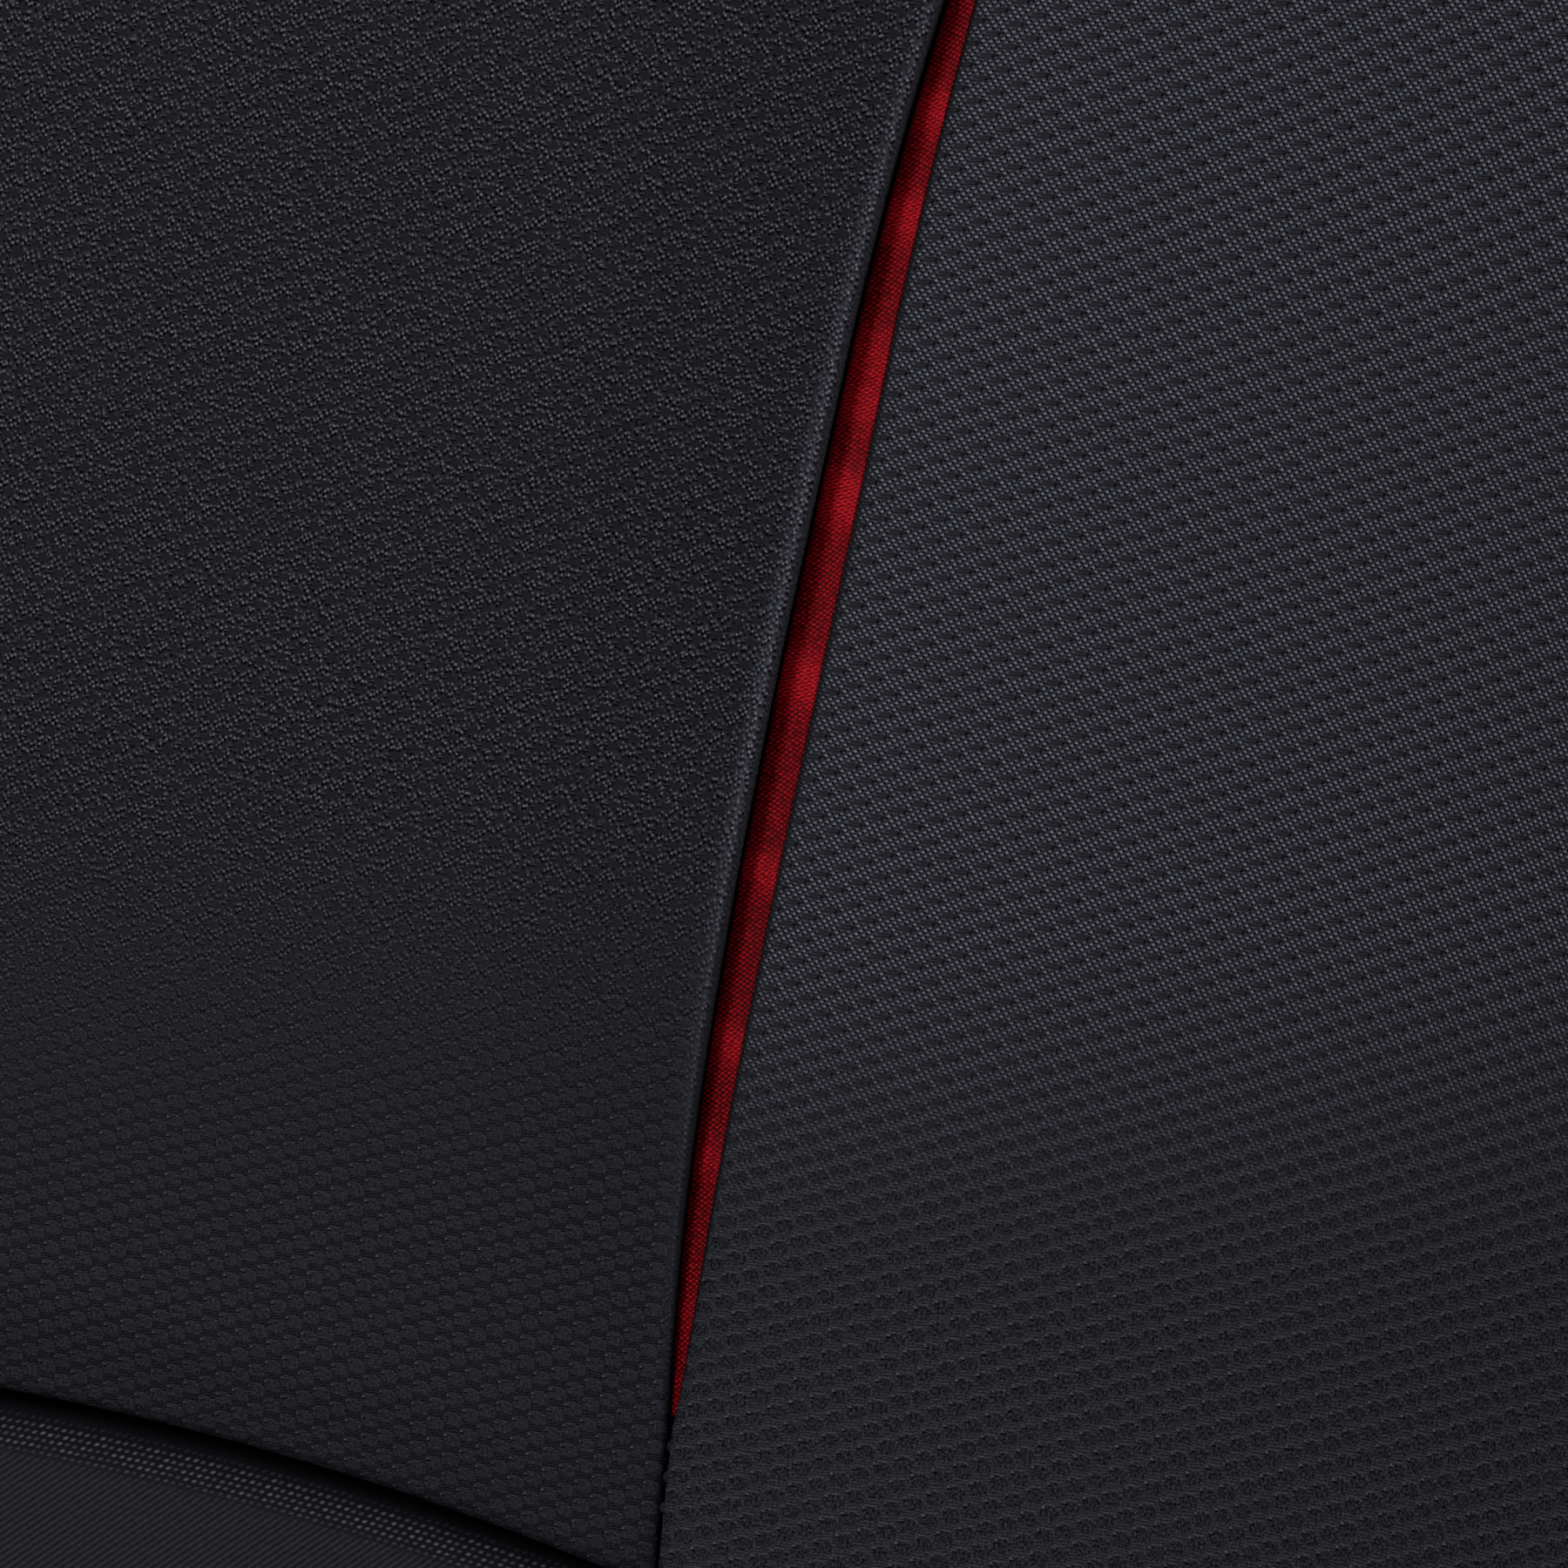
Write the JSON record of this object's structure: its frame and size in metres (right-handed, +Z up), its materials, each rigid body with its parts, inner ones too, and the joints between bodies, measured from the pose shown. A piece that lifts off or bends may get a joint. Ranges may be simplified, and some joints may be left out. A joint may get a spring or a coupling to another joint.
{
  "type": "racing seat",
  "caption": "Fixed-back bucket seat with padded cloth covers and red seam inserts, harness slots, side brackets and a sliding rail base with a release bar.",
  "frame": {"origin": "centre of the floor bolt pattern, on the floor", "axes": "+X across the seat, the sitter faces -Y, +Z up"},
  "size_m": [0.6044, 0.6645, 0.9186],
  "materials": {
    "rail_steel": "zinc-plated",
    "cage_plastic": "moulded",
    "ball_steel": "polished",
    "bracket_black": "powder-coated, fine texture",
    "bolt_steel": "black oxide",
    "plated_steel": "zinc-plated",
    "insert_brass": "plain",
    "shell_composite": "clear gel coat outside, flocked cloth lining inside",
    "trim_rubber": "matt",
    "bezel_plastic": "fine grain",
    "pad_foam": "open-cell foam",
    "jacquard_black": "jacquard weave",
    "twill_black": "fine twill",
    "taffeta_red": "plain weave",
    "hook_tape": "hook and loop",
    "bar_black": "powder-coated",
    "grip_foam": "closed-cell foam",
    "latch_steel": "plain",
    "spring_steel": "plain"
  },
  "bodies": {
    "floor_rails": {"lower_rail_left": "rail_steel", "lower_rail_right": "rail_steel"},
    "seat": {"upper_rail_left": "rail_steel", "upper_rail_right": "rail_steel", "bracket_left": "bracket_black", "bracket_right": "bracket_black", "foot_bolts": "bolt_steel", "foot_nuts": "plated_steel", "side_bolts": "bolt_steel", "side_washers": "plated_steel", "side_inserts": "insert_brass", "shell": "shell_composite", "rim_trim": "trim_rubber", "shoulder_bezel_left": "bezel_plastic", "shoulder_bezel_right": "bezel_plastic", "lap_bezel_left": "bezel_plastic", "lap_bezel_right": "bezel_plastic", "crotch_bezel": "bezel_plastic", "back_foam": "pad_foam", "back_cover": "jacquard_black", "back_bolster_foam_left": "pad_foam", "back_bolster_cover_left": "jacquard_black", "back_bolster_foam_right": "pad_foam", "back_bolster_cover_right": "jacquard_black", "red_insert_left": "taffeta_red", "red_insert_right": "taffeta_red", "lumbar_foam": "pad_foam", "lumbar_cover": "twill_black", "head_foam": "pad_foam", "head_cover": "jacquard_black", "seat_foam": "pad_foam", "seat_cover": "jacquard_black", "knee_foam": "pad_foam", "knee_cover": "twill_black", "thigh_bolster_foam_left": "pad_foam", "thigh_bolster_cover_left": "jacquard_black", "thigh_bolster_foam_right": "pad_foam", "thigh_bolster_cover_right": "jacquard_black", "hook_patches": "hook_tape", "pivot_pins": "plated_steel", "latch_spring_left": "spring_steel", "latch_spring_right": "spring_steel"},
    "ball_cages": {"ball_cage_left": "cage_plastic", "ball_cage_right": "cage_plastic", "balls_left": "ball_steel", "balls_right": "ball_steel"},
    "release_bar": {"release_bar": "bar_black", "release_grip": "grip_foam", "latch_left": "latch_steel", "latch_right": "latch_steel"}
  },
  "joints": [
    {"name": "seat_slide", "type": "slide", "parent": "floor_rails", "child": "seat", "axis": [0, 1, 0], "range_m": [-0.1, 0.1]},
    {"name": "cage_roll", "type": "slide", "parent": "floor_rails", "child": "ball_cages", "axis": [0, 1, 0], "range_m": [-0.05, 0.05]},
    {"name": "bar_lift", "type": "hinge", "parent": "seat", "child": "release_bar", "pos_m": [0, -0.04, 0.038], "axis": [-1, 0, 0], "range_deg": [0, 8], "stiffness_Nm_per_rad": 2, "springref_deg": -5.73}
  ],
  "couplings": [
    {"joint": "cage_roll", "follows": "seat_slide", "ratio": 0.5}
  ]
}
